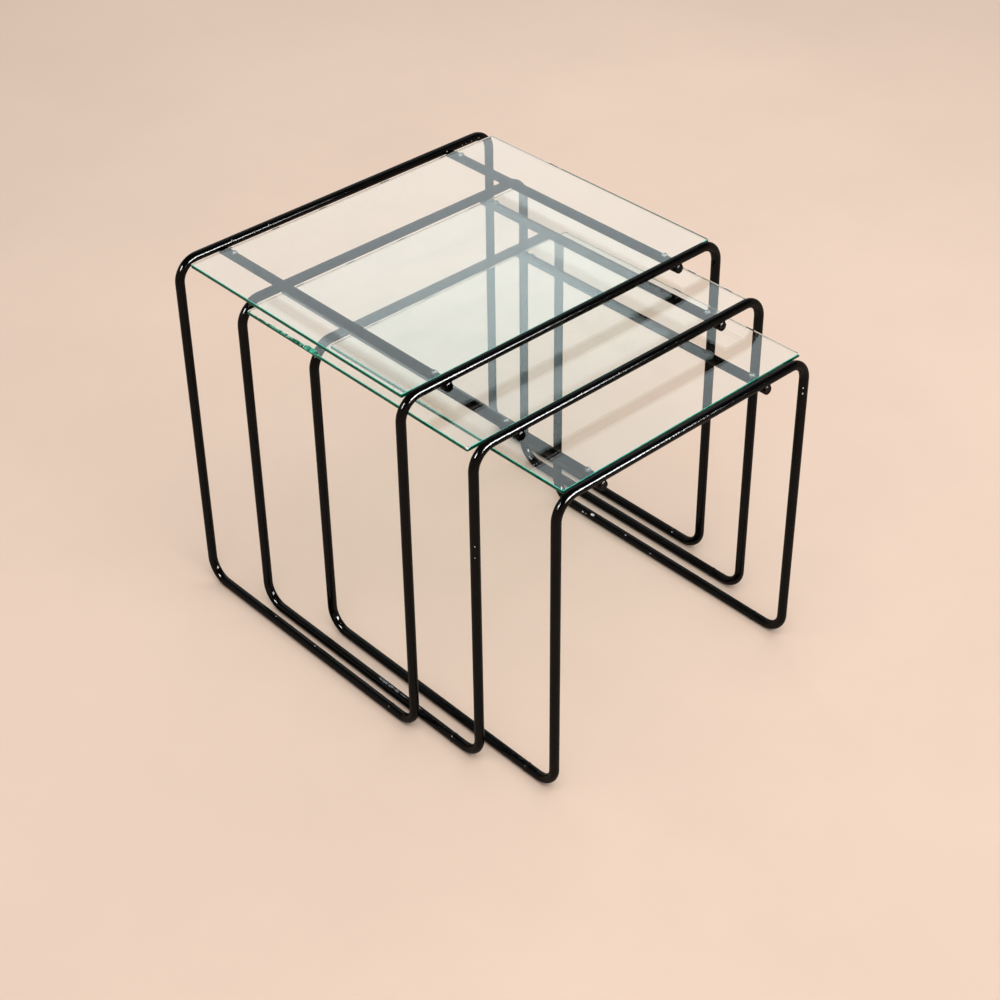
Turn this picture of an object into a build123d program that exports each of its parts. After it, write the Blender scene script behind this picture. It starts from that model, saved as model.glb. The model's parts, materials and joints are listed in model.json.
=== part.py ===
from build123d import *
import os
from types import SimpleNamespace

# Nest of three tables: closed loops of bent round rod, loose glass panes on clear bumpers.
# Millimetres. +Z up, the tables draw out towards -Y, +X to the right of someone facing +Y.
# Origin: on the floor, at the middle of the whole nest as it stands partly drawn out.

# rod and bends
rod_diameter = 12.0
bend_radius = 28.0            # to the rod's axis

# outer sizes of the large table; all three tables have the same depth
large_width = 522.0
large_height = 490.0
table_depth = 424.0

# how each table fits inside the next
middle_side_gap = 11.0        # free width between neighbouring legs, each side, when centred
small_side_gap = 17.0
middle_headroom = 4.5         # free height under the cross rods of the table above
small_headroom = 6.5

# where the tables stand: how far each is drawn out, and how far it sits off centre
middle_drawn_out = 94.0
small_drawn_out = 191.0
middle_off_centre = -2.0
small_off_centre = -1.0

# two cross rods under the top rails of each table
cross_rod_inset = 69.0        # leg axis to cross rod axis
cross_rod_overhang = 3.5      # end face beyond the rail's axis
cross_rod_chamfer = 0.7

# welds
weld_radius = 6.5             # fillet of weld round each crossing of rail and cross rod
weld_core = 2.0               # the weld doesn't run in between the two rods
seam_distance = 46.0          # front leg axis to the butt joint in the floor rails
seam_bead_width = 4.0
seam_bead_height = 0.5
seam_bead_foot = 1.0          # the bead is ground away below this height

# glass panes
glass_thickness = 5.0
glass_end_margin = 8.0        # pane end to leg axis, when centred
glass_rail_gap = 4.5          # pane edge to the rail's side, when centred
glass_corner_radius = 2.0
glass_seamed_edge = 0.4

# clear bumpers between cross rods and glass
bumper_diameter = 8.0
bumper_height = 2.5           # above the top of the cross rod
bumper_setback = 22.0           # rail axis to bumper centre
bumper_edge = 0.8

# how each loose pane lies: shift along X and Y from the middle of its frame, and a slight turn
large_pane_shift = (1.0, -3.2)
middle_pane_shift = (-9.5, -3.7)
small_pane_shift = (9.0, -1.3)
large_pane_turn = -0.1        # degrees about +Z
middle_pane_turn = -0.1
small_pane_turn = 0.3

rod_radius = rod_diameter / 2


def inner_table(outer, side_gap, headroom, drawn_out, off_centre):
    """Outer sizes and place of a table that slides under the table 'outer'."""
    width = outer.width - 2 * (rod_diameter + side_gap)
    height = outer.height - 2 * rod_diameter - headroom
    return place_table(width, height, drawn_out, off_centre)


def place_table(width, height, drawn_out, off_centre):
    """Axis lines of one table's rods, in the nest's frame."""
    half_span = width / 2 - rod_radius
    half_depth = table_depth / 2 - rod_radius
    middle = small_drawn_out / 2 - drawn_out
    return SimpleNamespace(
        width=width,
        height=height,
        centre_x=off_centre,
        centre_y=middle,
        left=off_centre - half_span,
        right=off_centre + half_span,
        front=middle - half_depth,
        back=middle + half_depth,
        rail_z=height - rod_radius,
        cross_z=height - rod_radius - rod_diameter,
    )


def bent_rod(points):
    """Round rod along straight runs joined by bends."""
    path = FilletPolyline(*points, radius=bend_radius)
    section = Plane(origin=path @ 0, z_dir=path % 0) * Circle(rod_radius)
    return sweep(section, path=path)


def hoop(t, end_y):
    """Half of the frame: top rail, two legs and two stretches of floor rail up to the seam."""
    seam_y = t.front + seam_distance
    points = [
        (t.left, seam_y, rod_radius),
        (t.left, end_y, rod_radius),
        (t.left, end_y, t.rail_z),
        (t.right, end_y, t.rail_z),
        (t.right, end_y, rod_radius),
        (t.right, seam_y, rod_radius),
    ]
    return bent_rod(points)


def rod_along_y(x, z, start_y, end_y, radius=rod_radius):
    """Plain cylinder along Y between two end faces."""
    return Pos(x, (start_y + end_y) / 2, z) * Rot(90, 0, 0) * Cylinder(radius, end_y - start_y)


def cross_rod(t, x):
    """Straight rod under both top rails, with eased ends."""
    rod = rod_along_y(x, t.cross_z, t.front - cross_rod_overhang, t.back + cross_rod_overhang)
    return chamfer(rod.edges().filter_by(GeomType.CIRCLE), cross_rod_chamfer)


def crossing_weld():
    """Front weld about the origin, the point where a rail along X lies on a cross rod along Y.

    It fills the narrowing gap between the two rods and stops at the cross rod's end.
    """
    reach = 2 * weld_radius
    weld = Sphere(weld_radius) - Cylinder(weld_core, 2 * reach)
    weld -= Pos(0, 0, rod_radius) * Rot(0, 90, 0) * Cylinder(rod_radius, 2 * reach)
    weld -= rod_along_y(0, -rod_radius, -reach, reach)
    return weld & Pos(0, reach - cross_rod_overhang, 0) * Box(2 * reach, 2 * reach, 2 * reach)


def crossing_welds(t, cross_x):
    """The four welds of one table; those at the back are the front ones turned round."""
    weld = crossing_weld()
    rail_bottom = t.rail_z - rod_radius
    welds = [Pos(x, t.front, rail_bottom) * weld for x in cross_x]
    welds += [Pos(x, t.back, rail_bottom) * Rot(0, 0, 180) * weld for x in cross_x]
    return Compound(children=welds)


def seam_bead(t, x):
    """Bead round the butt joint of the two hoops, ground off underneath."""
    seam_y = t.front + seam_distance
    ends = (seam_y - seam_bead_width / 2, seam_y + seam_bead_width / 2)
    bead = rod_along_y(x, rod_radius, *ends, radius=rod_radius + seam_bead_height)
    bead = chamfer(bead.edges().filter_by(GeomType.CIRCLE), seam_bead_height * 0.8)
    bead -= rod_along_y(x, rod_radius, *ends)
    ground = Pos(x, seam_y, seam_bead_foot - rod_diameter) * Box(3 * rod_diameter, rod_diameter, 2 * rod_diameter)
    return bead - ground


def bumper(t, x, y):
    """Clear round bumper, saddled on the cross rod."""
    rod_top = t.cross_z + rod_radius
    top = rod_top + bumper_height
    bottom = t.cross_z
    disc = Pos(x, y, (top + bottom) / 2) * Cylinder(bumper_diameter / 2, top - bottom)
    disc = fillet(disc.edges().group_by(Axis.Z)[-1], bumper_edge)
    return disc - rod_along_y(x, t.cross_z, y - bumper_diameter, y + bumper_diameter)


def glass_pane(t, shift, turn):
    """Loose pane between the top rails, with seamed edges and eased corners."""
    length = t.right - t.left - 2 * glass_end_margin
    depth = t.back - t.front - 2 * (rod_radius + glass_rail_gap)
    pane = Box(length, depth, glass_thickness)
    pane = fillet(pane.edges().filter_by(Axis.Z), glass_corner_radius)
    rims = pane.edges().group_by(Axis.Z)
    pane = chamfer(rims[0] + rims[-1], glass_seamed_edge)
    under = t.cross_z + rod_radius + bumper_height
    place = Pos(t.centre_x + shift[0], t.centre_y + shift[1], under + glass_thickness / 2)
    return place * Rot(0, 0, turn) * pane


def table_pieces(name, t, pane_shift, pane_turn):
    """Every piece of one table, by node name."""
    cross_x = {"left": t.left + cross_rod_inset, "right": t.right - cross_rod_inset}
    bumper_y = {"front": t.front + bumper_setback, "back": t.back - bumper_setback}
    pieces = {
        f"{name}_front_hoop": hoop(t, t.front),
        f"{name}_back_hoop": hoop(t, t.back),
        f"{name}_glass_top": glass_pane(t, pane_shift, pane_turn),
    }
    for side, x in cross_x.items():
        pieces[f"{name}_{side}_cross_rod"] = cross_rod(t, x)
        for end, y in bumper_y.items():
            pieces[f"{name}_{end}_{side}_bumper"] = bumper(t, x, y)
    pieces[f"{name}_cross_rod_welds"] = crossing_welds(t, cross_x.values())
    pieces[f"{name}_seam_welds"] = Compound(children=[seam_bead(t, t.left), seam_bead(t, t.right)])
    return pieces


large = place_table(large_width, large_height, 0.0, 0.0)
middle = inner_table(large, middle_side_gap, middle_headroom, middle_drawn_out, middle_off_centre)
small = inner_table(middle, small_side_gap, small_headroom, small_drawn_out, small_off_centre)

nodes = {}
nodes.update(table_pieces("large", large, large_pane_shift, large_pane_turn))
nodes.update(table_pieces("middle", middle, middle_pane_shift, middle_pane_turn))
nodes.update(table_pieces("small", small, small_pane_shift, small_pane_turn))

os.makedirs("parts", exist_ok=True)
for node, shape in nodes.items():
    export_step(shape, f"parts/{node}.step")
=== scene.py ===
import json
import math
from types import SimpleNamespace

import bmesh
import bpy
from bpy.props import FloatProperty, FloatVectorProperty, IntProperty, PointerProperty
from mathutils import Matrix, Vector, noise

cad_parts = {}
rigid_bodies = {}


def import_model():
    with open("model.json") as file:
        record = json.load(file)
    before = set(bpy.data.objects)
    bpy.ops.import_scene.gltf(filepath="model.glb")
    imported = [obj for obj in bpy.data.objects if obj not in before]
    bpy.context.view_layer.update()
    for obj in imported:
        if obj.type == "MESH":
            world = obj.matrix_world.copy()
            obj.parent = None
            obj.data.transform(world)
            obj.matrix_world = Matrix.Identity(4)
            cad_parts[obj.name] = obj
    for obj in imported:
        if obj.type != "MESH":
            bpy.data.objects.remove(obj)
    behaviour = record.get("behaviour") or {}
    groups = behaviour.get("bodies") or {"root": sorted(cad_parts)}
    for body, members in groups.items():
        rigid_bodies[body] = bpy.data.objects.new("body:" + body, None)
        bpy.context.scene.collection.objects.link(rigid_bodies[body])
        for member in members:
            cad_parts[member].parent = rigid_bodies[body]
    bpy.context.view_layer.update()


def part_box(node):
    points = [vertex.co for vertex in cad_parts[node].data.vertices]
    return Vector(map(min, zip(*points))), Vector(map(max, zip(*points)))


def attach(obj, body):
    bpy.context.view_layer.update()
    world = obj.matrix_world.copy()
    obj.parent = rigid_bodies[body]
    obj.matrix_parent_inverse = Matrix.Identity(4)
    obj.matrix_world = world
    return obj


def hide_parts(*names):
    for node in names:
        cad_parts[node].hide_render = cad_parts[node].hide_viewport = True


bl_info = {
    "name": "Nest of Tables",
    "version": (1, 0, 0),
    "blender": (4, 5, 0),
    "location": "3D View > Sidebar > Nest",
    "description": "Dresses a nest of bent rod tables with enamel, welds, glass tops and bumpers",
    "category": "Add Mesh",
}

# The fixed frame, its box, and the names that its parts go by. Everything is in metres, +Z up,
# and the tables draw out towards -Y.
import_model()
TABLES = ("large", "middle", "small")
SIDES = ("left", "right")
ENDS = ("front", "back")
MM = 0.001
# two faces of a rod or its sawn end that meet at more than this are a crisp edge
SHARP_EDGE = math.radians(50)


# ---------------------------------------------------------------- what the frame says of one table


def table_lines(name):
    """Axis lines of one table's rods, worked out from the boxes of its nodes."""
    front_low, front_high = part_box(f"{name}_front_hoop")
    _, back_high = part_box(f"{name}_back_hoop")
    rod_low, rod_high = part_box(f"{name}_left_cross_rod")
    right_low, right_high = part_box(f"{name}_right_cross_rod")
    radius = (rod_high.x - rod_low.x) / 2
    return SimpleNamespace(
        name=name,
        body=f"{name}_table",
        radius=radius,
        left=front_low.x + radius,
        right=front_high.x - radius,
        front=front_low.y + radius,
        back=back_high.y - radius,
        seam=front_high.y,
        floor_z=front_low.z + radius,
        rail_z=front_high.z - radius,
        cross_z=(rod_low.z + rod_high.z) / 2,
        cross_x={"left": (rod_low.x + rod_high.x) / 2, "right": (right_low.x + right_high.x) / 2},
        rod_front=rod_low.y,
        rod_back=rod_high.y,
    )


# ---------------------------------------------------------------- sizes and colours a user may change


class RodLooks(bpy.types.PropertyGroup):
    """How the bent rods are drawn."""

    bend_radius: FloatProperty(
        name="Bend radius", description="Radius of the bends, to the rod's axis", default=0.028, unit="LENGTH"
    )
    ring_gap: FloatProperty(
        name="Ring gap", description="Distance between the rings of a straight run",
        default=0.004, unit="LENGTH",
    )
    bend_rings: IntProperty(name="Bend rings", description="Rings in each bend", default=18)
    sides: IntProperty(name="Sides", description="Points round a rod", default=40)
    coat_swell: FloatProperty(
        name="Coat swell", description="How unevenly the enamel lies", default=0.00004, unit="LENGTH"
    )
    end_chamfer: FloatProperty(
        name="End chamfer", description="Chamfer at a cross rod's ends", default=0.0007, unit="LENGTH"
    )
    end_dish: FloatProperty(
        name="End dish", description="How far a sawn end sinks in its middle", default=0.0004, unit="LENGTH"
    )


class EnamelLooks(bpy.types.PropertyGroup):
    """The black enamel on every rod."""

    colour: FloatVectorProperty(
        name="Colour", description="Colour of the enamel",
        default=(0.0006, 0.0006, 0.0006), size=3, subtype="COLOR",
    )
    faded: FloatVectorProperty(
        name="Faded", description="Colour of its thinner patches",
        default=(0.002, 0.0019, 0.0018), size=3, subtype="COLOR",
    )
    roughness: FloatProperty(name="Roughness", description="Roughness of its gloss", default=0.06)
    gloss: FloatProperty(name="Gloss", description="How strongly the enamel mirrors", default=0.25)
    grain: FloatProperty(name="Grain", description="Strength of the brushed grain", default=0.9)


class GlassLooks(bpy.types.PropertyGroup):
    """The glass tops."""

    corner_radius: FloatProperty(
        name="Corner radius", description="Radius of a pane's corners", default=0.002, unit="LENGTH"
    )
    arris: FloatProperty(
        name="Arris", description="Width of the ground arris along each edge", default=0.0005, unit="LENGTH"
    )
    edge_step: FloatProperty(
        name="Edge step", description="Distance between the points along an edge",
        default=0.0015, unit="LENGTH",
    )
    edge_gap: FloatProperty(
        name="Edge gap", description="Air between the clear pane and the green skin of its edge",
        default=0.00005, unit="LENGTH",
    )
    tint: FloatVectorProperty(
        name="Tint", description="What a long path through the glass leaves",
        default=(0.0, 0.84, 0.66), size=3, subtype="COLOR",
    )
    density: FloatProperty(
        name="Density", description="How fast the glass takes colour away, per metre",
        default=6.0,
    )
    deep_green: FloatVectorProperty(
        name="Deep green", description="Colour seen along the pane, through an edge",
        default=(0.0, 0.065, 0.034), size=3, subtype="COLOR",
    )
    mint: FloatVectorProperty(
        name="Mint", description="Colour of the ground arris in the light",
        default=(0.07, 0.78, 0.60), size=3, subtype="COLOR",
    )
    emerald: FloatVectorProperty(
        name="Emerald", description="Colour of broken glass in the light",
        default=(0.06, 0.48, 0.32), size=3, subtype="COLOR",
    )
    # painted shade: the arris on the right and at the back is a darker grey copy of the mint arris
    far_arris: FloatVectorProperty(
        name="Far arris", description="Colour of the ground arris on the right and at the back",
        default=(0.17, 0.21, 0.19), size=3, subtype="COLOR",
    )
    ior: FloatProperty(
        name="Index of refraction", description="How strongly the glass bends light",
        default=1.52,
    )
    large_turn: FloatProperty(
        name="Large pane turn", description="How the large pane lies in its frame",
        default=math.radians(-0.1), subtype="ANGLE",
    )
    middle_turn: FloatProperty(
        name="Middle pane turn", description="How the middle pane lies in its frame",
        default=math.radians(-0.1), subtype="ANGLE",
    )
    small_turn: FloatProperty(
        name="Small pane turn", description="How the small pane lies in its frame",
        default=math.radians(0.3), subtype="ANGLE",
    )


class StageLooks(bpy.types.PropertyGroup):
    """Floor, lights and camera."""

    floor: FloatVectorProperty(
        name="Floor", description="Colour of the plain floor",
        default=(0.80, 0.605, 0.485), size=3, subtype="COLOR",
    )
    floor_reach: FloatProperty(
        name="Floor reach", description="How far the floor goes each way", default=30.0, unit="LENGTH"
    )
    fade_from: FloatProperty(
        name="Fade from", description="Where the floor starts to fade", default=1.2, unit="LENGTH"
    )
    fade_to: FloatProperty(
        name="Fade to", description="Where only the backdrop is left", default=4.0, unit="LENGTH"
    )
    backdrop: FloatProperty(name="Backdrop", description="How bright the even backdrop is", default=0.87)
    room: FloatProperty(name="Room", description="How bright the dark parts of the room are", default=0.12)
    ambient: FloatProperty(name="Ambient", description="Least light that dull surfaces get", default=0.5)
    camera_at: FloatVectorProperty(
        name="Camera", description="Where the camera stands",
        default=(-1.3933, -1.5137, 1.6997), size=3, subtype="TRANSLATION", unit="LENGTH",
    )
    azimuth: FloatProperty(
        name="Azimuth", description="Which way the camera stands from the tables",
        default=math.radians(-42.06), subtype="ANGLE",
    )
    elevation: FloatProperty(
        name="Elevation", description="How far up the camera stands",
        default=math.radians(35.84), subtype="ANGLE",
    )
    roll: FloatProperty(
        name="Roll", description="How far the camera is tilted",
        default=math.radians(-0.97), subtype="ANGLE",
    )
    lens: FloatProperty(name="Lens", description="Focal length in millimetres", default=72.27)
    shift_x: FloatProperty(name="Shift X", description="Sideways shift of the lens", default=0.0115)
    shift_y: FloatProperty(name="Shift Y", description="Upward shift of the lens", default=-0.0342)


class NestLooks(bpy.types.PropertyGroup):
    """All settings of the nest."""

    rod: PointerProperty(type=RodLooks)
    enamel: PointerProperty(type=EnamelLooks)
    glass: PointerProperty(type=GlassLooks)
    stage: PointerProperty(type=StageLooks)


# ---------------------------------------------------------------- mesh helpers


def mesh_object(name, vertices, faces, material, sharp_angle=None, smooth=True):
    """A new object in the scene from points and faces, with one material."""
    mesh = bpy.data.meshes.new(name)
    mesh.from_pydata([tuple(v) for v in vertices], [], faces)
    mesh.validate()
    mesh.polygons.foreach_set("use_smooth", [smooth] * len(mesh.polygons))
    if sharp_angle is not None:
        mesh.set_sharp_from_angle(angle=sharp_angle)
    mesh.materials.append(material)
    obj = bpy.data.objects.new(name, mesh)
    bpy.context.scene.collection.objects.link(obj)
    return obj


def settle(obj, table, node):
    """Put the piece on its table's body and hide the node that it stands for."""
    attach(obj, table.body)
    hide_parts(node)


def run_to(points, end, gap):
    """Extend a line of points straight to end in steps of at most gap."""
    start = points[-1]
    steps = max(1, math.ceil((end - start).length / gap))
    points += [start.lerp(end, i / steps) for i in range(1, steps + 1)]


def rod_path(corners, looks):
    """Points along straight runs that are joined by right-angled bends."""
    points = [corners[0]]
    radius = looks.bend_radius
    for before, corner, after in zip(corners, corners[1:], corners[2:]):
        back = (before - corner).normalized() * radius
        ahead = (after - corner).normalized() * radius
        centre = corner + back + ahead
        run_to(points, corner + back, looks.ring_gap)
        for i in range(1, looks.bend_rings + 1):
            turn = math.pi / 2 * i / looks.bend_rings
            points.append(centre - ahead * math.cos(turn) - back * math.sin(turn))
    run_to(points, corners[-1], looks.ring_gap)
    return points


def rings_to_mesh(rings):
    """Vertices and faces of a closed skin through rings of as many points each."""
    sides = len(rings[0])
    vertices = [point for ring in rings for point in ring]
    faces = []
    for i in range(len(rings) - 1):
        low, high = i * sides, (i + 1) * sides
        for k in range(sides):
            n = (k + 1) % sides
            faces.append((low + k, low + n, high + n, high + k))
    faces.append(tuple(reversed(range(sides))))
    faces.append(tuple(range((len(rings) - 1) * sides, len(rings) * sides)))
    return vertices, faces


def sweep_rod(points, sides, radius_at):
    """Rings round a line of points. radius_at(length, angle) is the skin's distance from the line."""
    rings = []
    length = 0.0
    across = None
    for i, point in enumerate(points):
        ahead = points[min(i + 1, len(points) - 1)] - points[max(i - 1, 0)]
        along = ahead.normalized()
        if across is None:
            across = along.orthogonal()
        else:
            length += (point - points[i - 1]).length
        across = (across - along * across.dot(along)).normalized()
        beside = along.cross(across)
        ring = []
        for k in range(sides):
            angle = 2 * math.pi * k / sides
            reach = radius_at(length, angle)
            ring.append(point + across * (reach * math.cos(angle)) + beside * (reach * math.sin(angle)))
        rings.append(ring)
    return rings


def coated(radius, swell, seed):
    """Skin radius of a rod under brushed enamel, never more than the rod's own radius."""

    def radius_at(length, angle):
        x, y = math.cos(angle), math.sin(angle)
        lap = noise.noise(Vector((1.3 * x, 1.3 * y, 22.0 * length + seed)))
        stroke = noise.noise(Vector((3.5 * x, 3.5 * y, 70.0 * length - seed)))
        return radius - swell * (1.0 - 0.65 * lap - 0.35 * stroke)

    return radius_at


# ---------------------------------------------------------------- material helpers


def node_material(name):
    """A new material, its tree with only an output, the output, and the piece's own coordinates."""
    material = bpy.data.materials.new(name)
    material.use_nodes = True
    tree = material.node_tree
    tree.nodes.clear()
    output = tree.nodes.new("ShaderNodeOutputMaterial")
    coords = add_node(tree, "ShaderNodeTexCoord").outputs["Object"]
    return material, tree, output, coords


def lay_shader(tree, output, settings):
    """Put one shader with its settings on the surface."""
    shader = add_node(tree, "ShaderNodeBsdfPrincipled", settings)
    tree.links.new(shader.outputs["BSDF"], output.inputs["Surface"])


def add_node(tree, kind, inputs=(), **settings):
    """A node with its settings, and with inputs as numbers, colours or sockets to link from."""
    node = tree.nodes.new(kind)
    for key, value in settings.items():
        setattr(node, key, value)
    for key, value in dict(inputs).items():
        if isinstance(value, bpy.types.NodeSocket):
            tree.links.new(value, node.inputs[key])
        else:
            node.inputs[key].default_value = value
    return node


def noise_node(tree, coords, scale, detail=2.0, roughness=0.5):
    """Cloudy noise over the coordinates."""
    settings = {"Vector": coords, "Scale": scale, "Detail": detail, "Roughness": roughness}
    return add_node(tree, "ShaderNodeTexNoise", settings).outputs["Fac"]


def remap(tree, value, low, high, to_low=0.0, to_high=1.0):
    """A value moved from one range to another, clamped."""
    settings = {"Value": value, "From Min": low, "From Max": high, "To Min": to_low, "To Max": to_high}
    return add_node(tree, "ShaderNodeMapRange", settings).outputs["Result"]


def mix_colours(tree, share, first, second):
    """One colour turning into another by a share."""
    node = add_node(tree, "ShaderNodeMix", data_type="RGBA")
    tree.links.new(share, node.inputs["Factor"])
    for socket, colour in ((node.inputs[6], first), (node.inputs[7], second)):
        if isinstance(colour, bpy.types.NodeSocket):
            tree.links.new(colour, socket)
        else:
            socket.default_value = (*colour, 1.0)
    return node.outputs[2]


def math_node(tree, operation, first, second):
    """Two values put together."""
    return add_node(tree, "ShaderNodeMath", {0: first, 1: second}, operation=operation).outputs["Value"]


def bump(tree, height, strength, distance, normal=None):
    """Surface normal bent by a height."""
    settings = {"Height": height, "Strength": strength, "Distance": distance}
    if normal is not None:
        settings["Normal"] = normal
    return add_node(tree, "ShaderNodeBump", settings).outputs["Normal"]


# ---------------------------------------------------------------- materials


def enamel_material(looks):
    """Gloss black enamel, brushed on: a fine grain, soft laps and a few duller patches."""
    material, tree, output, coords = node_material("brushed_enamel")
    patches = noise_node(tree, coords, 38.0, 3.0)
    grain = noise_node(tree, coords, 520.0, 2.0)
    laps = noise_node(tree, coords, 150.0, 1.0)
    colour = mix_colours(tree, remap(tree, patches, 0.45, 0.72), looks.colour, looks.faded)
    normal = bump(tree, laps, looks.grain * 0.3, 0.0003)
    normal = bump(tree, grain, looks.grain, 0.00016, normal)
    settings = {
        "Base Color": colour,
        "Roughness": remap(tree, patches, 0.35, 0.75, 0.45, 0.65),
        "Specular IOR Level": 0.0,
        "Coat Weight": looks.gloss,
        "Coat Roughness": looks.roughness,
        "Coat IOR": 1.5,
        "Normal": normal,
        "Coat Normal": normal,
    }
    lay_shader(tree, output, settings)
    return material


def glass_material(looks):
    """Float glass that lets lamps through to the floor and darkens to green along its length."""
    material, tree, output, coords = node_material("float_glass")
    smears = noise_node(tree, coords, 14.0, 5.0, 0.65)
    smeared = remap(tree, smears, 0.40, 0.75)
    clear = mix_colours(tree, smeared, (1.0, 1.0, 1.0), (0.955, 0.965, 0.96))
    settings = {"Base Color": clear, "Roughness": 0.0, "IOR": looks.ior, "Transmission Weight": 1.0}
    glass = add_node(tree, "ShaderNodeBsdfPrincipled", settings)
    through = add_node(tree, "ShaderNodeBsdfTransparent", {"Color": (0.988, 0.996, 0.993, 1.0)})
    path = add_node(tree, "ShaderNodeLightPath")
    for_lamps = add_node(tree, "ShaderNodeMixShader", {"Fac": path.outputs["Is Shadow Ray"]})
    tree.links.new(glass.outputs["BSDF"], for_lamps.inputs[1])
    tree.links.new(through.outputs["BSDF"], for_lamps.inputs[2])
    for_floor = add_node(tree, "ShaderNodeMixShader", {"Fac": path.outputs["Is Diffuse Ray"]})
    tree.links.new(for_lamps.outputs["Shader"], for_floor.inputs[1])
    tree.links.new(through.outputs["BSDF"], for_floor.inputs[2])
    tree.links.new(for_floor.outputs["Shader"], output.inputs["Surface"])
    tint = {"Color": (*looks.tint, 1.0), "Density": looks.density}
    inside = add_node(tree, "ShaderNodeVolumeAbsorption", tint)
    tree.links.new(inside.outputs["Volume"], output.inputs["Volume"])
    return material


def edge_material(looks):
    """The edge of a pane from outside: deep green with lighter streaks along it."""
    material, tree, output, coords = node_material("deep_green_edge")
    streaks = noise_node(tree, coords, 120.0, 4.0)
    lighter = tuple(min(1.0, c * 1.7 + 0.004) for c in looks.deep_green)
    settings = {
        "Base Color": mix_colours(tree, remap(tree, streaks, 0.4, 0.75), looks.deep_green, lighter),
        "Roughness": remap(tree, streaks, 0.3, 0.7, 0.12, 0.25),
        "Specular IOR Level": 0.15,
    }
    lay_shader(tree, output, settings)
    return material


def arris_material(name, colour):
    """The ground arris of a pane, a fine line."""
    material, tree, output, coords = node_material(name)
    grit = noise_node(tree, coords, 260.0, 4.0)
    darker = tuple(c * 0.62 for c in colour)
    settings = {
        "Base Color": mix_colours(tree, remap(tree, grit, 0.35, 0.6), darker, colour),
        "Roughness": remap(tree, grit, 0.3, 0.7, 0.25, 0.5),
        "Normal": bump(tree, grit, 0.6, 0.0002),
    }
    lay_shader(tree, output, settings)
    return material


def flaked_material(looks):
    """Broken glass along a flaked edge: dark green shells with white glints."""
    material, tree, output, coords = node_material("flaked_edge")
    shells = noise_node(tree, coords, 170.0, 2.0)
    glints = noise_node(tree, coords, 420.0, 1.0)
    green = mix_colours(tree, remap(tree, shells, 0.40, 0.58), looks.deep_green, looks.emerald)
    settings = {
        "Base Color": mix_colours(tree, remap(tree, glints, 0.62, 0.70), green, (0.82, 0.94, 0.88)),
        "Roughness": remap(tree, shells, 0.3, 0.7, 0.08, 0.22),
        "Specular IOR Level": 0.3,
        "Normal": bump(tree, shells, 0.7, 0.0010),
    }
    lay_shader(tree, output, settings)
    return material


def crushed_material():
    """Crushed glass at a knocked corner, white and sparkling."""
    material, tree, output, coords = node_material("crushed_glass")
    crumbs = noise_node(tree, coords, 800.0, 2.0)
    white = remap(tree, crumbs, 0.38, 0.52)
    settings = {
        "Base Color": mix_colours(tree, white, (0.10, 0.22, 0.18), (0.95, 0.98, 0.96)),
        "Roughness": remap(tree, crumbs, 0.3, 0.7, 0.05, 0.2),
        "Normal": bump(tree, crumbs, 0.8, 0.0005),
    }
    lay_shader(tree, output, settings)
    return material


def bumper_material():
    """Clear soft plastic, greyed and a little cloudy."""
    material, tree, output, coords = node_material("soft_clear_plastic")
    cloud = noise_node(tree, coords, 900.0, 2.0)
    settings = {
        "Base Color": (0.45, 0.50, 0.48, 1.0),
        "Roughness": remap(tree, cloud, 0.3, 0.7, 0.10, 0.25),
        "IOR": 1.42,
        "Transmission Weight": 0.92,
    }
    lay_shader(tree, output, settings)
    return material


def bare_material(name, pale, dark, metallic):
    """What shows where the enamel has chipped off."""
    material, tree, output, coords = node_material(name)
    scratch = noise_node(tree, coords, 700.0, 3.0)
    colour = mix_colours(tree, remap(tree, scratch, 0.35, 0.65), dark, pale)
    settings = {
        "Base Color": colour,
        "Roughness": remap(tree, scratch, 0.3, 0.7, 0.35, 0.6),
        "Normal": bump(tree, scratch, 0.5, 0.0002),
        "Metallic": metallic,
    }
    lay_shader(tree, output, settings)
    return material


def floor_material(looks):
    """Plain pale floor with the faintest clouding, which fades into an even backdrop far off."""
    material, tree, output, coords = node_material("pale_floor")
    cloud = noise_node(tree, coords, 1.6, 5.0, 0.6)
    lighter = tuple(min(1.0, c * 1.04) for c in looks.floor)
    darker = tuple(c * 0.96 for c in looks.floor)
    shade = mix_colours(tree, remap(tree, cloud, 0.3, 0.7), darker, lighter)
    settings = {"Base Color": shade, "Roughness": 0.85, "Specular IOR Level": 0.1}
    shader = add_node(tree, "ShaderNodeBsdfPrincipled", settings)
    settings = {"Color": (*looks.floor, 1.0), "Strength": looks.backdrop}
    backdrop = add_node(tree, "ShaderNodeEmission", settings)
    distance = add_node(tree, "ShaderNodeVectorMath", {0: coords}, operation="LENGTH").outputs["Value"]
    path = add_node(tree, "ShaderNodeLightPath").outputs
    away = remap(tree, distance, looks.fade_from, looks.fade_to)
    far = math_node(tree, "SUBTRACT", away, path["Is Diffuse Ray"])
    fade = add_node(tree, "ShaderNodeMixShader", {"Fac": math_node(tree, "MAXIMUM", far, 0.0)})
    tree.links.new(shader.outputs["BSDF"], fade.inputs[1])
    tree.links.new(backdrop.outputs["Emission"], fade.inputs[2])
    tree.links.new(fade.outputs["Shader"], output.inputs["Surface"])
    return material


def shared_material(name, make, *args):
    """The material of that name, made on first use."""
    return bpy.data.materials.get(name) or make(*args)


def brushed_enamel():
    """The one enamel of all rods and welds."""
    return shared_material("brushed_enamel", enamel_material, bpy.context.scene.nest_looks.enamel)


# ---------------------------------------------------------------- operators


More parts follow.
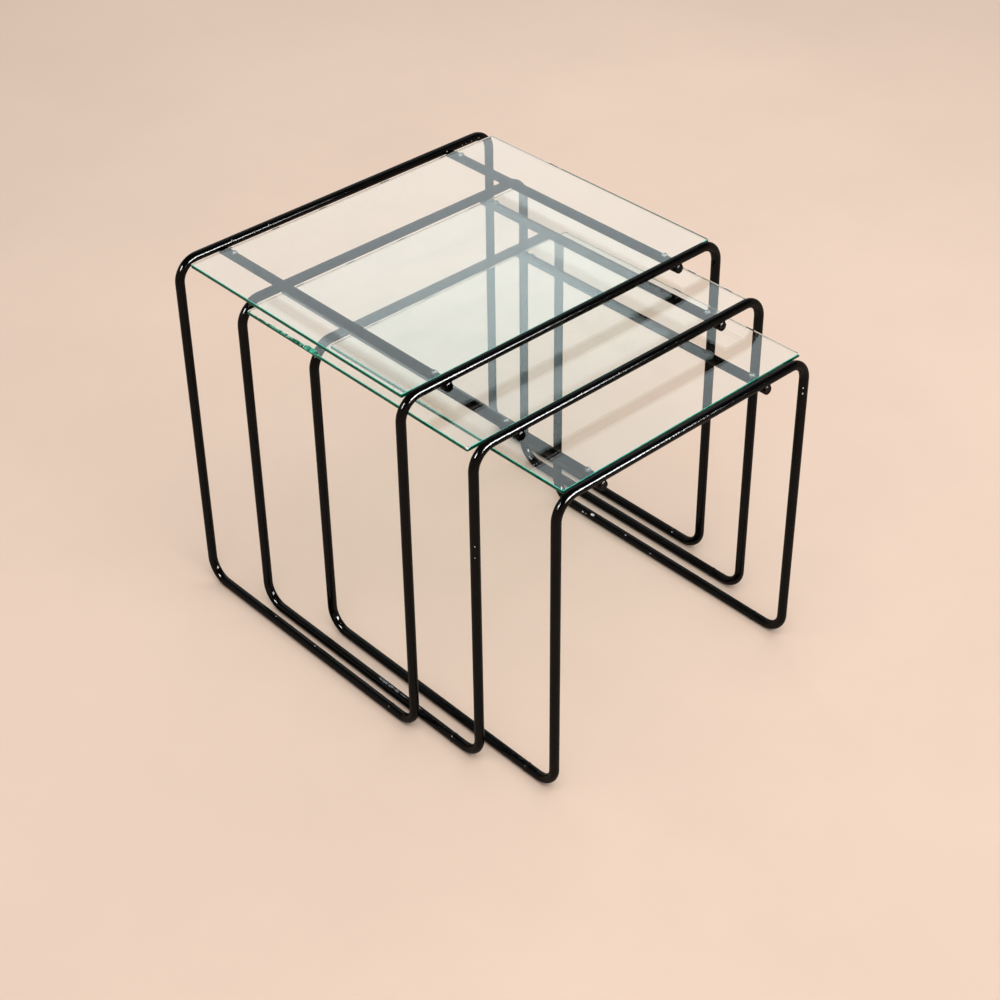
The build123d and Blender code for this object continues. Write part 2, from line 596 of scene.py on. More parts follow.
class NEST_OT_hoops(bpy.types.Operator):
    """Build the front and back hoops, which meet in the floor rails"""

    bl_idname = "nest.hoops"
    bl_label = "Bent Hoops"

    def execute(self, context):
        looks = context.scene.nest_looks.rod
        for seed, name in enumerate(TABLES):
            table = table_lines(name)
            for end in ENDS:
                self.build(table, end, seed, looks)
        return {"FINISHED"}

    @staticmethod
    def build(table, end, seed, looks):
        y = getattr(table, end)
        corners = [
            Vector((table.left, table.seam, table.floor_z)),
            Vector((table.left, y, table.floor_z)),
            Vector((table.left, y, table.rail_z)),
            Vector((table.right, y, table.rail_z)),
            Vector((table.right, y, table.floor_z)),
            Vector((table.right, table.seam, table.floor_z)),
        ]
        skin = coated(table.radius, looks.coat_swell, 11.0 * seed + 5.0 * (end == "back"))
        rings = sweep_rod(rod_path(corners, looks), looks.sides, skin)
        node = f"{table.name}_{end}_hoop"
        hoop = mesh_object(f"{node}_rod", *rings_to_mesh(rings), brushed_enamel(), SHARP_EDGE)
        settle(hoop, table, node)


class NEST_OT_cross_rods(bpy.types.Operator):
    """Build the straight rods under the top rails, with sawn and painted ends"""

    bl_idname = "nest.cross_rods"
    bl_label = "Cross Rods"

    def execute(self, context):
        looks = context.scene.nest_looks.rod
        for seed, name in enumerate(TABLES):
            table = table_lines(name)
            for side in SIDES:
                self.build(table, side, seed, looks)
        return {"FINISHED"}

    def build(self, table, side, seed, looks):
        x = table.cross_x[side]
        front = Vector((x, table.rod_front, table.cross_z))
        back = Vector((x, table.rod_back, table.cross_z))
        ahead = Vector((0.0, 1.0, 0.0))
        radius, dish = table.radius, looks.end_dish
        # how far in from the end, and the share of the radius: the dished face, its rim, the chamfer
        profile = [(dish, 0.15), (dish * 0.9, 0.45), (dish * 0.5, 0.68)]
        profile += [(0.05 * MM, 0.80), (0.0, 0.86), (0.3 * MM, 0.94)]
        start = [(front + ahead * inset, share * radius) for inset, share in profile]
        finish = [(back - ahead * inset, share * radius) for inset, share in reversed(profile)]
        past_chamfer = ahead * looks.end_chamfer * 1.2
        body = [front + past_chamfer]
        run_to(body, back - past_chamfer, looks.ring_gap)
        skin = coated(radius, looks.coat_swell, 31.0 + 7.0 * seed + 3.0 * (side == "right"))
        turns = [2 * math.pi * k / looks.sides for k in range(looks.sides)]
        rings = [self.ring(point, turns, [reach] * len(turns)) for point, reach in start]
        rings += [self.ring(point, turns, [skin(point.y, turn) for turn in turns]) for point in body]
        rings += [self.ring(point, turns, [reach] * len(turns)) for point, reach in finish]
        node = f"{table.name}_{side}_cross_rod"
        rod = mesh_object(f"{node}_bar", *rings_to_mesh(rings), brushed_enamel(), SHARP_EDGE)
        settle(rod, table, node)

    @staticmethod
    def ring(point, turns, reaches):
        """Points round the rod at one place, each as far out as its own reach."""
        return [point + Vector((math.cos(a), 0.0, -math.sin(a))) * r for a, r in zip(turns, reaches)]


class NEST_OT_crossing_welds(bpy.types.Operator):
    """Build the fillet welds where the cross rods lie under the top rails"""

    bl_idname = "nest.crossing_welds"
    bl_label = "Cross Rod Welds"

    steps_round: IntProperty(name="Steps round", description="Points round each weld", default=72)
    reach: FloatProperty(name="Reach", description="How far the weld spreads", default=0.0056, unit="LENGTH")
    drops: IntProperty(name="Drops", description="Drops of spatter beside each weld", default=16)

    def execute(self, context):
        for seed, name in enumerate(TABLES):
            table = table_lines(name)
            vertices, faces = [], []
            for side in SIDES:
                for end in ENDS:
                    self.add_weld(table, side, end, seed, vertices, faces)
                    self.add_spatter(table, side, end, seed, vertices, faces)
            node = f"{name}_cross_rod_welds"
            welds = mesh_object(f"{node}_beads", vertices, faces, brushed_enamel())
            settle(welds, table, node)
        return {"FINISHED"}

    def add_weld(self, table, side, end, seed, vertices, faces):
        """One ring of weld metal, a loop that bites into both rods, swept round the crossing."""
        centre = Vector((table.cross_x[side], getattr(table, end), table.rail_z - table.radius))
        outward = -1.0 if end == "front" else 1.0
        # the bead stops just short of the cross rod's end
        stop = abs(getattr(table, f"rod_{end}") - getattr(table, end)) - 0.2 * MM
        radius, bite, core = table.radius, 0.4 * MM, 0.8 * MM
        first = len(vertices)
        section = 8
        phase = seed + 3.0 * (side == "left") + 5.0 * (end == "back")
        for i in range(self.steps_round):
            turn = 2 * math.pi * i / self.steps_round
            c, s = math.cos(turn), math.sin(turn)
            ripple = 0.05 * math.sin(11 * turn + phase) + 0.10 * noise.noise(Vector((2 * c, 2 * s, phase)))
            spread = self.reach * (1.0 + ripple)
            if s * outward > 0:
                spread = min(spread, stop / max(s * outward, 0.2))
            top = radius - math.sqrt(radius**2 - min(abs(spread * s), radius * 0.98) ** 2)
            low = -(radius - math.sqrt(radius**2 - min(abs(spread * c), radius * 0.98) ** 2))
            for j in range(section):
                share = j / (section - 1)
                hollow = 0.14 * math.sin(math.pi * share)
                out = spread * (1.0 - hollow)
                height = (top + bite) * (1 - share) + (low - bite) * share
                vertices.append(centre + Vector((out * c, out * s, height)))
            vertices.append(centre + Vector((core * c, core * s, 0.0)))
        loop = section + 1
        for i in range(self.steps_round):
            near = first + i * loop
            far = first + (i + 1) % self.steps_round * loop
            for j in range(loop):
                k = (j + 1) % loop
                faces.append((near + j, near + k, far + k, far + j))

    def add_spatter(self, table, side, end, seed, vertices, faces):
        """Small drops of weld metal on the cross rod, just inside the crossing."""
        inward = 1.0 if end == "front" else -1.0
        centre = Vector((table.cross_x[side], getattr(table, end), table.cross_z))
        for i in range(self.drops):
            pick = Vector((i * 1.7, seed * 5.1 + 2.3 * (side == "left"), 3.9 * inward))
            roll = noise.cell_vector(pick * 10)
            along = (7.0 + 15.0 * roll.x) * MM
            lean = math.radians(-70 + 140 * roll.y)
            size = (0.4 + 0.7 * roll.z**2) * MM
            out = Vector((math.sin(lean), 0.0, math.cos(lean)))
            seat = centre + Vector((0.0, inward * along, 0.0)) + out * (table.radius - size * 0.35)
            self.add_drop(seat, out, size, vertices, faces)

    @staticmethod
    def add_drop(seat, out, size, vertices, faces):
        """A flattened half drop that sinks into the rod."""
        first = len(vertices)
        across = out.orthogonal().normalized()
        beside = out.cross(across)
        sides = 8
        # reach and height of each ring, as shares of the drop's size
        profile = ((1.0, -0.5), (1.0, 0.15), (0.72, 0.62), (0.3, 0.86))
        for reach, height in profile:
            for k in range(sides):
                turn = 2 * math.pi * k / sides
                away = across * math.cos(turn) + beside * math.sin(turn)
                vertices.append(seat + away * (reach * size) + out * (height * size))
        top = first + (len(profile) - 1) * sides
        for near in range(first, top, sides):
            for k in range(sides):
                n = (k + 1) % sides
                faces.append((near + k, near + n, near + sides + n, near + sides + k))
        faces.append(tuple(range(top, top + sides)))


class NEST_OT_seam_welds(bpy.types.Operator):
    """Build the beads round the butt joints in the floor rails, ground flat below"""

    bl_idname = "nest.seam_welds"
    bl_label = "Seam Welds"

    sides: IntProperty(name="Sides", description="Points round a bead", default=56)
    width: FloatProperty(name="Width", description="Width of the bead", default=0.004, unit="LENGTH")
    height: FloatProperty(
        name="Height", description="Height of the bead over the rod",
        default=0.0005, unit="LENGTH",
    )

    def execute(self, context):
        for seed, name in enumerate(TABLES):
            table = table_lines(name)
            vertices, faces = [], []
            for x in (table.left, table.right):
                self.add_bead(table, x, seed + 9.0 * (x > 0), vertices, faces)
            node = f"{name}_seam_welds"
            beads = mesh_object(f"{node}_beads", vertices, faces, brushed_enamel())
            settle(beads, table, node)
        return {"FINISHED"}

    def add_bead(self, table, x, phase, vertices, faces):
        first = len(vertices)
        section, sunk = 7, 0.3 * MM
        for i in range(self.sides):
            turn = 2 * math.pi * i / self.sides
            c, s = math.cos(turn), math.sin(turn)
            lift = self.height * (0.75 + 0.25 * noise.noise(Vector((3 * c, 3 * s, phase))))
            lift *= min(1.0, max(0.0, (s + 0.95) / 0.35))
            sway = 0.6 * MM * noise.noise(Vector((2 * c, 2 * s, phase + 4.0)))
            for j in range(section):
                share = j / (section - 1)
                reach = table.radius - sunk + (lift + sunk) * math.sin(math.pi * share)
                y = table.seam + sway + self.width * (share - 0.5)
                vertices.append((x + reach * c, y, table.floor_z + reach * s))
        for i in range(self.sides):
            near = first + i * section
            far = first + (i + 1) % self.sides * section
            for j in range(section):
                k = (j + 1) % section
                faces.append((near + k, near + j, far + j, far + k))


class NEST_OT_glass_tops(bpy.types.Operator):
    """Build the three panes, with ground arrises, eased corners, a flaked edge and knocked corners"""

    bl_idname = "nest.glass_tops"
    bl_label = "Glass Tops"

    flaked_from: FloatProperty(
        name="Flaked from", description="Where the flaked stretch starts, from the pane's middle",
        default=0.057, unit="LENGTH",
    )
    flaked_to: FloatProperty(
        name="Flaked to", description="Where the flaked stretch ends, from the pane's middle",
        default=0.193, unit="LENGTH",
    )
    chip: FloatProperty(name="Chip", description="Reach of a knocked corner", default=0.0030, unit="LENGTH")

    # which corners are knocked: the table, and the corner's side and end
    KNOCKED = {"middle": (-1, -1), "small": (1, -1)}
    # rows of points down an edge, and the row below which its green band starts
    ROWS, BAND = 6, 2
    # the material slots of an edge skin; where the edge is whole, its band is green. An arris facing right or
    # back takes a grey copy of the mint arris, which is painted shade
    WHOLE, NEAR_ARRIS, FLAKED, CRUSHED, FAR_ARRIS = range(5)

    def execute(self, context):
        looks = context.scene.nest_looks.glass
        glass = shared_material("float_glass", glass_material, looks)
        green = shared_material("deep_green_edge", edge_material, looks)
        mint = shared_material("mint_arris", arris_material, "mint_arris", looks.mint)
        # painted shade: a grey copy of the arris for edges that face right or back
        far = shared_material("far_arris", arris_material, "far_arris", looks.far_arris)
        flaked = shared_material("flaked_edge", flaked_material, looks)
        crushed = shared_material("crushed_glass", crushed_material)
        for name in TABLES:
            table = table_lines(name)
            node = f"{name}_glass_top"
            length, depth, thickness, place = self.measure(node, getattr(looks, f"{name}_turn"))
            outline = self.outline(length, depth, looks)
            sections = []
            for point, _ in outline:
                sections.append(self.section(point, thickness / 2, name, length, depth, looks))
            pane = self.pane(f"{node}_pane", outline, sections, looks.edge_gap, place, glass)
            settle(pane, table, node)
            edge = self.edge(f"{node}_edge", outline, sections, place, (green, mint, flaked, crushed, far))
            settle(edge, table, node)
        return {"FINISHED"}

    @staticmethod
    def measure(node, turn):
        """A pane's own length, depth and thickness, and where it lies, from its box and its turn."""
        low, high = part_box(node)
        extent = high - low
        c, s = math.cos(abs(turn)), math.sin(abs(turn))
        length = (extent.x * c - extent.y * s) / math.cos(2 * turn)
        depth = (extent.y * c - extent.x * s) / math.cos(2 * turn)
        place = Matrix.Translation((low + high) / 2) @ Matrix.Rotation(turn, 4, "Z")
        return length, depth, extent.z, place

    @staticmethod
    def outline(length, depth, looks):
        """Points round the pane, anticlockwise, each with the way out of the edge there."""
        radius = looks.corner_radius
        half_x, half_y = length / 2 - radius, depth / 2 - radius
        points = []
        corners = [(half_x, half_y, 0), (-half_x, half_y, 90)]
        corners += [(-half_x, -half_y, 180), (half_x, -half_y, 270)]
        for i, (x, y, start) in enumerate(corners):
            for k in range(7):
                angle = math.radians(start + 15 * k)
                out = Vector((math.cos(angle), math.sin(angle), 0.0))
                points.append((Vector((x, y, 0.0)) + out * radius, out))
            next_x, next_y, _ = corners[(i + 1) % 4]
            tail, out = points[-1]
            span = Vector((next_x - x, next_y - y, 0.0))
            steps = int(span.length / looks.edge_step)
            points += [(tail + span * (k / steps), out) for k in range(1, steps)]
        return points

    def section(self, point, half, name, length, depth, looks):
        """How far in and how high the edge's rows lie, and whether it is whole or broken here."""
        arris = looks.arris * (1.0 + 0.15 * noise.noise(Vector((point.x * 60, point.y * 60, 1.0))))
        flake = self.flake(point, length) if name == "middle" else 0.0
        crush = self.crush(point, length, depth, self.KNOCKED.get(name))
        broken = self.CRUSHED if crush > arris else self.FLAKED if flake > arris else self.WHOLE
        inset = max(arris, flake, crush)
        drop = min(0.8 * inset, 1.1 * half) if broken else arris
        wobble = 0.35 * noise.noise(Vector((point.y * 900, 3.0, 5.0))) if broken else 0.0
        rows = [
            (inset, half),
            (inset * (0.5 + 0.4 * wobble), half - drop * (0.5 + wobble)),
            (0.0, half - drop),
            (0.0, arris - half),
            (arris * 0.4, arris * 0.4 - half),
            (arris, -half),
        ]
        return rows, broken

    def crush(self, point, length, depth, knocked):
        """How deep a knocked corner is crushed here."""
        if knocked is None:
            return 0.0
        corner = Vector((knocked[0] * length / 2, knocked[1] * depth / 2, 0.0))
        return max(0.0, self.chip - 0.6 * (point - corner).length)

    def flake(self, point, length):
        """How deep the left edge has flaked here."""
        on_left = point.x <= 2.0 * MM - length / 2
        if not (on_left and self.flaked_from < point.y < self.flaked_to):
            return 0.0
        share = (point.y - self.flaked_from) / (self.flaked_to - self.flaked_from)
        swell = min(1.0, share / 0.05, (1.0 - share) / 0.75)
        scallop = abs(math.sin(200 * point.y + 2.5 * noise.noise(Vector((40 * point.y, 0.0, 0.0)))))
        deepest = math.exp(-(((share - 0.14) / 0.10) ** 2))
        return swell * (1.6 + 1.9 * scallop + 2.2 * deepest) * MM

    @staticmethod
    def lay_rows(outline, sections, gap, place):
        """The points of all the edge's rows, drawn in by the gap, where the pane lies."""
        points = []
        for (point, out), (rows, _) in zip(outline, sections):
            points += [place @ (point - out * (inset + gap) + Vector((0.0, 0.0, z))) for inset, z in rows]
        return points

    def pane(self, name, outline, sections, gap, place, glass):
        """The clear pane, closed, a hair inside its edge skin."""
        vertices = self.lay_rows(outline, sections, gap, place)
        faces = []
        count, rows = len(outline), self.ROWS
        for i in range(count):
            near, far = i * rows, (i + 1) % count * rows
            faces += [(near + j, near + j + 1, far + j + 1, far + j) for j in range(rows - 1)]
        faces.append(tuple(i * rows for i in range(count)))
        faces.append(tuple((count - 1 - i) * rows + rows - 1 for i in range(count)))
        return mesh_object(name, vertices, faces, glass, smooth=False)

    def edge(self, name, outline, sections, place, materials):
        """The skin of the edge: a deep green band, an arris above and below it (mint in front and on the
        left, grey painted shade on the right and behind), and the flakes.
        """
        vertices = self.lay_rows(outline, sections, 0.0, place)
        faces, picks = [], []
        count, rows = len(outline), self.ROWS
        for i in range(count):
            near, far = i * rows, (i + 1) % count * rows
            broken = max(sections[i][1], sections[(i + 1) % count][1])
            for j in range(rows - 1):
                faces.append((near + j, near + j + 1, far + j + 1, far + j))
                # painted shade: an arris facing right or back takes the grey copy, and one facing front or
                # left takes the mint
                arris = self.FAR_ARRIS if outline[i][1].x + outline[i][1].y > 0 else self.NEAR_ARRIS
                over_band = broken if broken and j < self.BAND else arris
                picks.append(self.WHOLE if j == self.BAND else over_band)
        edge = mesh_object(name, vertices, faces, materials[0], smooth=False)
        for material in materials[1:]:
            edge.data.materials.append(material)
        edge.data.polygons.foreach_set("material_index", picks)
        return edge


class NEST_OT_bumpers(bpy.types.Operator):
    """Build the clear domes that keep the glass off the cross rods"""

    bl_idname = "nest.bumpers"
    bl_label = "Bumpers"

    rings: IntProperty(name="Rings", description="Rings from the middle of a bumper to its rim", default=9)
    sides: IntProperty(name="Sides", description="Points round a bumper", default=36)

    def execute(self, context):
        clear = shared_material("soft_clear_plastic", bumper_material)
        for name in TABLES:
            table = table_lines(name)
            for end in ENDS:
                for side in SIDES:
                    self.build(table, f"{name}_{end}_{side}_bumper", clear)
        return {"FINISHED"}

    def build(self, table, node, clear):
        low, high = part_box(node)
        middle = (low + high) / 2
        radius = (high.x - low.x) / 2
        # height of the rim, air under the bumper, and how much of the top is flat
        rim_height, gap, flat = 0.9 * MM, 0.02 * MM, 0.35
        vertices = []
        for top in (True, False):
            for i in range(self.rings + 1):
                share = i / self.rings
                reach = radius * share
                for k in range(self.sides):
                    angle = 2 * math.pi * k / self.sides
                    x, y = reach * math.cos(angle), reach * math.sin(angle)
                    saddle = table.cross_z + math.sqrt(table.radius**2 - x**2) + gap
                    fall = (max(0.0, share - flat) / (1.0 - flat)) ** 2
                    dome = high.z - (high.z - saddle - rim_height) * fall
                    vertices.append((middle.x + x, middle.y + y, dome if top else saddle))
        faces = []
        size = (self.rings + 1) * self.sides
        for side in (0, 1):
            for i in range(self.rings):
                a, b = side * size + i * self.sides, side * size + (i + 1) * self.sides
                for k in range(self.sides):
                    n = (k + 1) % self.sides
                    quad = (a + k, b + k, b + n, a + n)
                    faces.append(quad if side == 0 else tuple(reversed(quad)))
        rim_top, rim_low = self.rings * self.sides, size + self.rings * self.sides
        for k in range(self.sides):
            n = (k + 1) % self.sides
            faces.append((rim_top + k, rim_low + k, rim_low + n, rim_top + n))
        dome = mesh_object(f"{node}_dome", vertices, faces, clear, math.radians(60))
        edit = bmesh.new()
        edit.from_mesh(dome.data)
        bmesh.ops.remove_doubles(edit, verts=edit.verts, dist=0.01 * MM)
        edit.to_mesh(dome.data)
        edit.free()
        settle(dome, table, node)


class NEST_OT_wear(bpy.types.Operator):
    """Chip and scuff the enamel where the tables have knocked and rubbed"""

    bl_idname = "nest.wear"
    bl_label = "Chips and Scuffs"

    # table, rod, place along the rod, side it faces, length and width, in millimetres
    CHIPS = (
        ("small", "right_floor", 54, "inner", 4.0, 2.4),
        ("small", "right_floor", 48, "inner", 1.8, 1.2),
        ("small", "right_floor", 37, "inner top", 8.0, 3.6),
        ("small", "right_floor", -27, "inner top", 3.0, 1.6),
        ("small", "right_floor", -76, "inner", 2.6, 1.4),
        ("small", "right_front_leg", 387, "inner front", 2.4, 1.8),
        ("small", "right_front_leg", 379, "inner front", 2.8, 1.8),
        ("middle", "right_front_leg", 126, "outer front", 1.8, 1.3),
        ("large", "back_rail", 175, "front low", 2.6, 1.7),
        ("large", "back_rail", 202, "front low", 1.7, 1.1),
        ("large", "back_rail", 209, "front low", 1.1, 0.8),
        ("large", "back_rail", 219, "front low", 1.8, 0.9),
        ("large", "back_rail", 232, "front low", 1.3, 0.8),
        ("large", "back_rail", -143, "front", 1.7, 1.1),
        ("large", "back_rail", -177, "front top", 1.8, 1.1),
        ("large", "back_rail", -120, "front top", 1.6, 1.0),
        ("middle", "front_rail", -16, "front top", 1.8, 1.2),
        ("middle", "front_rail", -75, "front top", 2.2, 1.2),
        ("middle", "right_cross", 15, "top", 3.0, 1.8),
        ("small", "back_rail", 123, "top", 2.4, 1.6),
        ("middle", "left_front_leg", 331, "outer front", 2.2, 1.4),
        ("middle", "left_front_leg", 315, "outer front", 1.8, 1.2),
        ("large", "left_floor", 166, "top", 2.0, 1.4),
        ("large", "left_floor", 85, "top", 2.0, 1.4),
    )
    SCUFFS = (
        ("middle", "left_floor", -20, "top", 9.0, 2.4),
        ("middle", "left_floor", -29, "top", 12.0, 5.2),
        ("middle", "left_floor", -41, "top", 11.0, 3.2),
        ("middle", "left_floor", -52, "top", 10.0, 4.0),
        ("middle", "left_floor", -65, "top", 12.0, 2.6),
        ("middle", "left_floor", -81, "top", 12.0, 2.2),
        ("middle", "left_floor", -95, "top", 8.0, 1.8),
    )

    def execute(self, context):
        primer = ("pale_primer", (0.93, 0.91, 0.88), (0.55, 0.53, 0.50), 0.0)
        steel = ("bare_steel", (0.24, 0.255, 0.27), (0.02, 0.02, 0.022), 0.1)
        for name in TABLES:
            self.patches(name, "paint_chips", self.CHIPS, 0.35, primer)
            self.patches(name, "floor_rail_scuffs", self.SCUFFS, 0.95, steel)
        return {"FINISHED"}

    def patches(self, name, kind, marks, ragged, finish):
        """All of one table's marks of a kind, as thin crowned flakes on its rods."""
        table = table_lines(name)
        vertices, faces = [], []
        for i, (owner, rod, along, facing, length, width) in enumerate(marks):
            if owner == name:
                size = (length * MM, width * MM)
                self.add_patch(table, rod, along * MM, facing, size, ragged, i, vertices, faces)
        if not faces:
            return
        material = shared_material(finish[0], bare_material, *finish)
        flakes = mesh_object(f"{name}_{kind}", vertices, faces, material)
        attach(flakes, table.body)

    @staticmethod
    def add_patch(table, rod, along, facing, size, ragged, seed, vertices, faces):
        """A fan of points over the rod, its rim sunk into the enamel."""
        lines = {
            "front_rail": (Vector((along, table.front, table.rail_z)), Vector((1, 0, 0))),
            "back_rail": (Vector((along, table.back, table.rail_z)), Vector((1, 0, 0))),
            "left_floor": (Vector((table.left, along, table.floor_z)), Vector((0, 1, 0))),
            "right_floor": (Vector((table.right, along, table.floor_z)), Vector((0, 1, 0))),
            "left_front_leg": (Vector((table.left, table.front, along)), Vector((0, 0, 1))),
            "right_front_leg": (Vector((table.right, table.front, along)), Vector((0, 0, 1))),
            "right_cross": (Vector((table.cross_x["right"], along, table.cross_z)), Vector((0, 1, 0))),
        }
        centre, axis = lines[rod]
        inward = 1.0 if centre.x < 0 else -1.0
        ways = {
            "top": Vector((0.0, 0.0, 1.0)),
            "front": Vector((0.0, -1.0, 0.3)),
            "front low": Vector((0.0, -1.0, 0.0)),
            "front top": Vector((0.0, -1.0, 0.8)),
            "inner": Vector((inward, 0.0, 0.4)),
            "inner top": Vector((inward * 0.65, 0.0, 1.0)),
            "inner front": Vector((inward, -0.8, 0.0)),
            "outer front": Vector((-inward, -1.0, 0.0)),
        }
        out = ways[facing].normalized()
        beside = axis.cross(out)
        length, width = size
        first = len(vertices)
        spokes = 22
        # share of the way out, and height over the rod: flat, then sunk at the rim
        for share, height in ((0.0, 0.0), (0.45, 0.0), (0.8, -0.03 * MM), (1.0, -0.2 * MM)):
            for k in range(spokes if share else 1):
                turn = 2 * math.pi * k / spokes
                c, s = math.cos(turn), math.sin(turn)
                edge = 1.0 + ragged * noise.noise(Vector((1.8 * c, 1.8 * s, 7.3 * seed)))
                edge += 0.5 * ragged * noise.noise(Vector((4.5 * c, 4.5 * s, 3.1 * seed)))
                angle = share * edge * s * width / 2 / table.radius
                reach = table.radius + height
                at = centre + axis * (share * edge * c * length / 2)
                vertices.append(at + out * (reach * math.cos(angle)) + beside * (reach * math.sin(angle)))
        for k in range(spokes):
            n = (k + 1) % spokes
            faces.append((first, first + 1 + k, first + 1 + n))
            for ring in (0, 1):
                near, far = first + 1 + ring * spokes, first + 1 + (ring + 1) * spokes
                faces.append((near + k, far + k, far + n, near + n))


class NEST_OT_stage(bpy.types.Operator):
    """Lay the pale floor and set up soft light, the world and the camera"""

    bl_idname = "nest.stage"
    bl_label = "Stage"

    # each lamp's azimuth and elevation in degrees, distance, width and height in metres, radiance,
    # colour, and tilt in degrees
    LAMPS = {
        "back_light": (138.0, 36.0, 2.6, (2.8, 2.2), 1.02, (0.88, 0.97, 1.0), 0.0),
        "overhead_fill": (-30.0, 60.0, 2.4, (2.2, 2.2), 3.1, (1.0, 0.99, 0.97), 0.0),
        "window_light": (90.0, 32.0, 2.4, (1.05, 0.85), 2.3, (1.0, 0.99, 0.98), 0.0),
        "front_strip": (9.4, 21.3, 1.54, (1.24, 0.45), 130.0, (1.0, 1.0, 1.0), -15.0),
        "left_spot": (-95.0, 35.0, 2.8, (0.8, 0.8), 110.0, (1.0, 1.0, 1.0), 0.0),
    }
    # the finish that the two small lamps glint on; a pane would mirror their whole outline
    GLINTING = "brushed_enamel"

    def execute(self, context):
        looks = context.scene.nest_looks.stage
        self.lay_floor(looks)
        self.light_world(context.scene, looks)
        middle = Vector((0.0, 0.0, 0.4))
        lamps = {name: self.panel(name, middle, *settings) for name, settings in self.LAMPS.items()}
        for soft in ("overhead_fill", "window_light"):
            lamps[soft].visible_glossy = False
        glossy = bpy.data.collections.new("what the small lamps glint on")
        for obj in context.scene.objects:
            if obj.type == "MESH" and obj.active_material and obj.active_material.name == self.GLINTING:
                glossy.objects.link(obj)
        for small in ("front_strip", "left_spot"):
            lamps[small].visible_diffuse = False
            lamps[small].light_linking.receiver_collection = glossy
        self.place_camera(context.scene, looks)
        context.scene.view_settings.view_transform = "Standard"
        return {"FINISHED"}

    @staticmethod
    def lay_floor(looks):
        reach = looks.floor_reach
        corners = [(-reach, -reach, 0), (reach, -reach, 0), (reach, reach, 0), (-reach, reach, 0)]
        floor = mesh_object("floor", corners, [(0, 1, 2, 3)], floor_material(looks), smooth=False)

    @staticmethod
    def light_world(scene, looks):
        """A dim room with a pale wall on the right, a pale patch on the left, and a pale horizon."""
        world = bpy.data.worlds.new("studio")
        scene.world = world
        world.use_nodes = True
        tree = world.node_tree
        tree.nodes.clear()
        output = tree.nodes.new("ShaderNodeOutputWorld")
        toward = add_node(tree, "ShaderNodeTexCoord").outputs["Generated"]
        x, y, z = add_node(tree, "ShaderNodeSeparateXYZ", {"Vector": toward}).outputs
        rightward = remap(tree, x, -0.1, 0.3)
        backward = remap(tree, y, 0.1, 0.4)
        wall = math_node(tree, "MULTIPLY", rightward, backward)
        wall = math_node(tree, "MULTIPLY", wall, remap(tree, z, 0.30, 0.55, 0.9, 0.0))
        patch_at = {0: toward, 1: (-0.604, 0.602, 0.525)}
        patch = add_node(tree, "ShaderNodeVectorMath", patch_at, operation="DOT_PRODUCT").outputs["Value"]
        patch = remap(tree, patch, 0.93, 0.985, 0.0, 0.55)
        light = math_node(tree, "ADD", math_node(tree, "MAXIMUM", wall, patch), looks.room)
        path = add_node(tree, "ShaderNodeLightPath").outputs
        ambient = math_node(tree, "MULTIPLY", path["Is Diffuse Ray"], looks.ambient)
        light = math_node(tree, "MAXIMUM", light, ambient)
        horizon = remap(tree, z, 0.28, 0.45, 1.0, 0.0)
        mirrored = math_node(tree, "SUBTRACT", horizon, path["Is Diffuse Ray"])
        seen = math_node(tree, "MAXIMUM", path["Is Camera Ray"], mirrored)
        room = add_node(tree, "ShaderNodeBackground", {"Color": (0.95, 0.98, 1.0, 1.0), "Strength": light})
        settings = {"Color": (*looks.floor, 1.0), "Strength": looks.backdrop}
        pale = add_node(tree, "ShaderNodeBackground", settings)
        mix = add_node(tree, "ShaderNodeMixShader", {"Fac": seen})
        tree.links.new(room.outputs["Background"], mix.inputs[1])
        tree.links.new(pale.outputs["Background"], mix.inputs[2])
        tree.links.new(mix.outputs["Shader"], output.inputs["Surface"])

    @staticmethod
    def panel(name, target, azimuth, elevation, distance, size, radiance, colour, tilt):
        """A flat lamp that faces the target from that side, as bright as radiance all over."""
        lamp = bpy.data.lights.new(name, "AREA")
        lamp.shape = "RECTANGLE"
        lamp.size, lamp.size_y = size
        lamp.color = colour
        lamp.energy = radiance * math.pi * size[0] * size[1]
        obj = bpy.data.objects.new(name, lamp)
        a, e = math.radians(azimuth), math.radians(elevation)
        away = Vector((math.sin(a) * math.cos(e), -math.cos(a) * math.cos(e), math.sin(e)))
        obj.location = target + away * distance
        facing = away.to_track_quat("Z", "Y").to_matrix() @ Matrix.Rotation(math.radians(tilt), 3, "Z")
        obj.rotation_euler = facing.to_euler()
        obj.visible_camera = False
        bpy.context.scene.collection.objects.link(obj)
        return obj

    @staticmethod
    def place_camera(scene, looks):
        data = bpy.data.cameras.new("camera")
        data.lens = looks.lens
        data.shift_x = looks.shift_x
        data.shift_y = looks.shift_y
        data.clip_end = 50.0
        camera = bpy.data.objects.new("camera", data)
        a, e = looks.azimuth, looks.elevation
        away = Vector((math.sin(a) * math.cos(e), -math.cos(a) * math.cos(e), math.sin(e)))
        right = away.cross(Vector((0, 0, -1))).normalized()
        up = away.cross(right)
        turned = Matrix((right, up, away)).transposed().to_4x4()
        turned = turned @ Matrix.Rotation(looks.roll, 4, "Z")
        camera.matrix_world = Matrix.Translation(looks.camera_at) @ turned
        scene.collection.objects.link(camera)
        scene.camera = camera


OPERATORS = (
    NEST_OT_hoops,
    NEST_OT_cross_rods,
    NEST_OT_crossing_welds,
    NEST_OT_seam_welds,
    NEST_OT_glass_tops,
    NEST_OT_bumpers,
    NEST_OT_wear,
    NEST_OT_stage,
)


class NEST_PT_panel(bpy.types.Panel):
    """Buttons that build the pieces, in order"""

    bl_idname = "NEST_PT_panel"
    bl_label = "Nest of Tables"
    bl_space_type = "VIEW_3D"
    bl_region_type = "UI"
    bl_category = "Nest"

    def draw(self, context):
        for operator in OPERATORS:
            self.layout.operator(operator.bl_idname)


CLASSES = (RodLooks, EnamelLooks, GlassLooks, StageLooks, NestLooks, *OPERATORS, NEST_PT_panel)


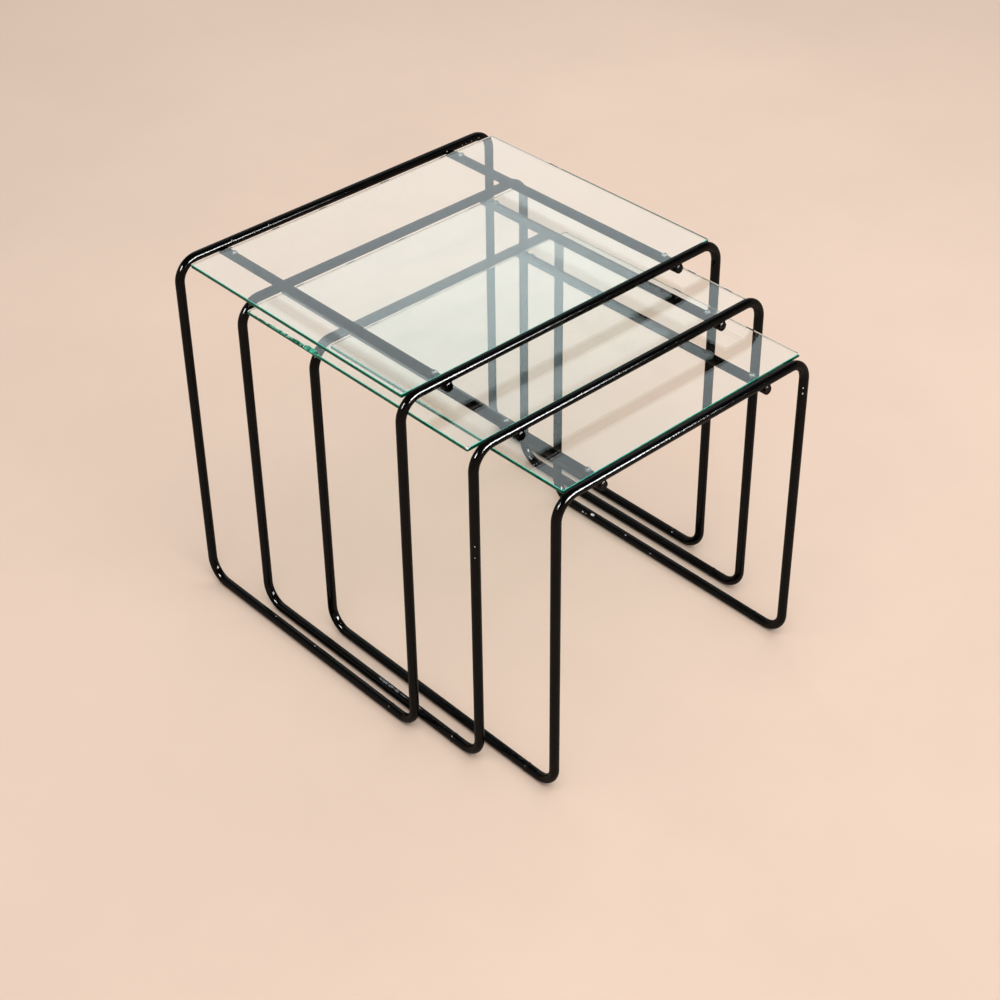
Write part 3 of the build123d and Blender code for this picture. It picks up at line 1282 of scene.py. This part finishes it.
def register():
    for cls in CLASSES:
        bpy.utils.register_class(cls)
    bpy.types.Scene.nest_looks = PointerProperty(type=NestLooks)


def unregister():
    del bpy.types.Scene.nest_looks
    for cls in reversed(CLASSES):
        bpy.utils.unregister_class(cls)


def main():
    """Build every piece in order."""
    register()
    for operator in OPERATORS:
        group, action = operator.bl_idname.split(".")
        getattr(getattr(bpy.ops, group), action)()


if __name__ == "__main__":
    main()
